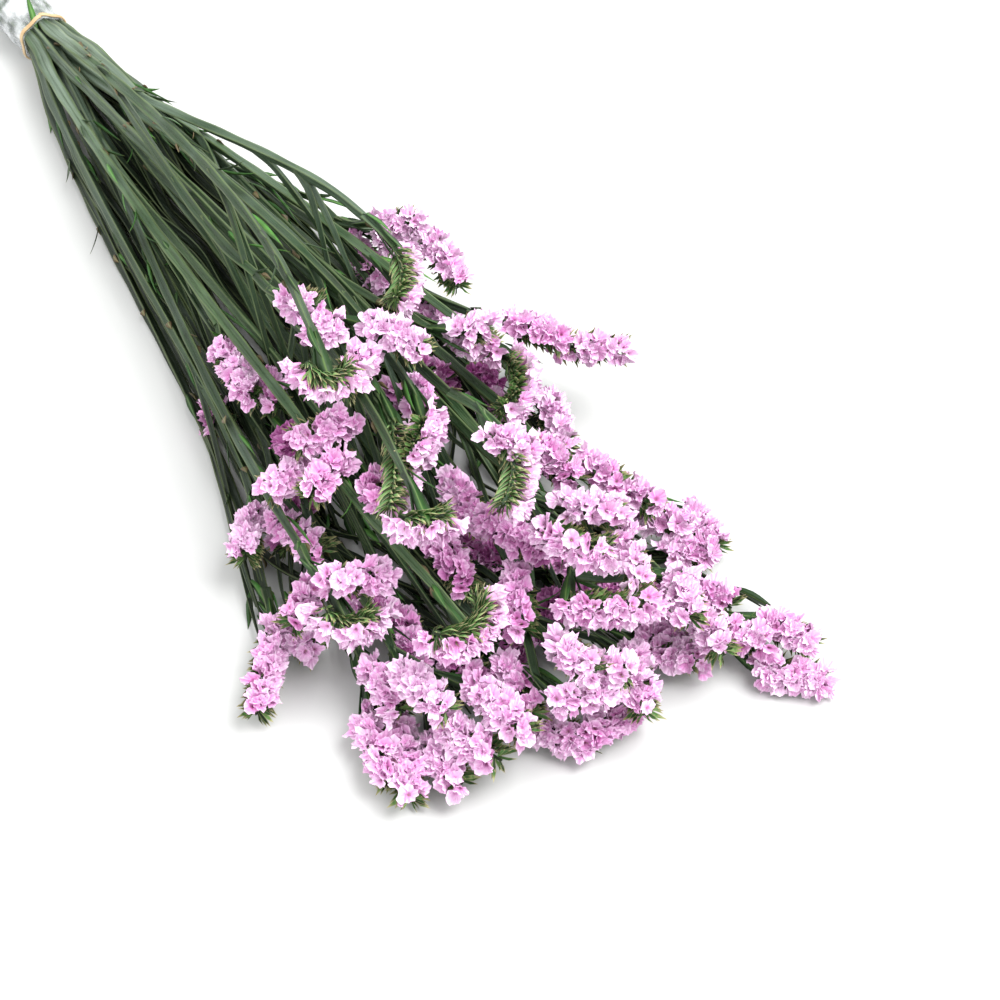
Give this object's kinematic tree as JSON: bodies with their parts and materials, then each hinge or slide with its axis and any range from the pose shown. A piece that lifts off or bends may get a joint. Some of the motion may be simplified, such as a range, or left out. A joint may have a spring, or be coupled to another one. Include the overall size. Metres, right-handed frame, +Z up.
{
  "type": "tied bunch of dried pink statice",
  "caption": "Tied bunch of dried pink statice lying on its side, with winged green stems, a rubber band, a clear film bag over the cut ends and combs of papery flowers.",
  "frame": {"origin": "on the surface that the bunch lies on, under the middle of the rubber band", "axes": "+X runs along the bunch from the tie to the flowers, +Y to the left of that, +Z up"},
  "size_m": [0.6828, 0.2494, 0.1197],
  "materials": {
    "rubber_band": "satin",
    "clear_film": "gloss",
    "green_stem": "matte",
    "pink_calyx": "matte"
  },
  "bodies": {
    "root": {"rubber_band": "rubber_band", "film_bag": "clear_film", "stem_01": "green_stem", "stem_02": "green_stem", "stem_03": "green_stem", "stem_04": "green_stem", "stem_05": "green_stem", "stem_06": "green_stem", "stem_07": "green_stem", "stem_08": "green_stem", "stem_09": "green_stem", "stem_10": "green_stem", "stem_11": "green_stem", "stem_12": "green_stem", "stem_13": "green_stem", "stem_14": "green_stem", "stem_15": "green_stem", "stem_16": "green_stem", "stem_17": "green_stem", "stem_18": "green_stem", "stem_19": "green_stem", "flower_head_01": "pink_calyx", "flower_head_02": "pink_calyx", "flower_head_03": "pink_calyx", "flower_head_04": "pink_calyx", "flower_head_05": "pink_calyx", "flower_head_06": "pink_calyx", "flower_head_07": "pink_calyx", "flower_head_08": "pink_calyx", "flower_head_09": "pink_calyx", "flower_head_10": "pink_calyx", "flower_head_11": "pink_calyx", "flower_head_12": "pink_calyx", "flower_head_13": "pink_calyx", "flower_head_14": "pink_calyx", "flower_head_15": "pink_calyx", "flower_head_16": "pink_calyx", "flower_head_17": "pink_calyx", "flower_head_18": "pink_calyx", "flower_head_19": "pink_calyx", "flower_head_20": "pink_calyx", "flower_head_21": "pink_calyx", "flower_head_22": "pink_calyx", "flower_head_23": "pink_calyx", "flower_head_24": "pink_calyx", "flower_head_25": "pink_calyx", "flower_head_26": "pink_calyx", "flower_head_27": "pink_calyx", "flower_head_28": "pink_calyx", "flower_head_29": "pink_calyx", "flower_head_30": "pink_calyx", "flower_head_31": "pink_calyx", "flower_head_32": "pink_calyx", "flower_head_33": "pink_calyx", "flower_head_34": "pink_calyx", "flower_head_35": "pink_calyx", "flower_head_36": "pink_calyx", "flower_head_37": "pink_calyx", "flower_head_38": "pink_calyx", "flower_head_39": "pink_calyx"}
  },
  "joints": []
}
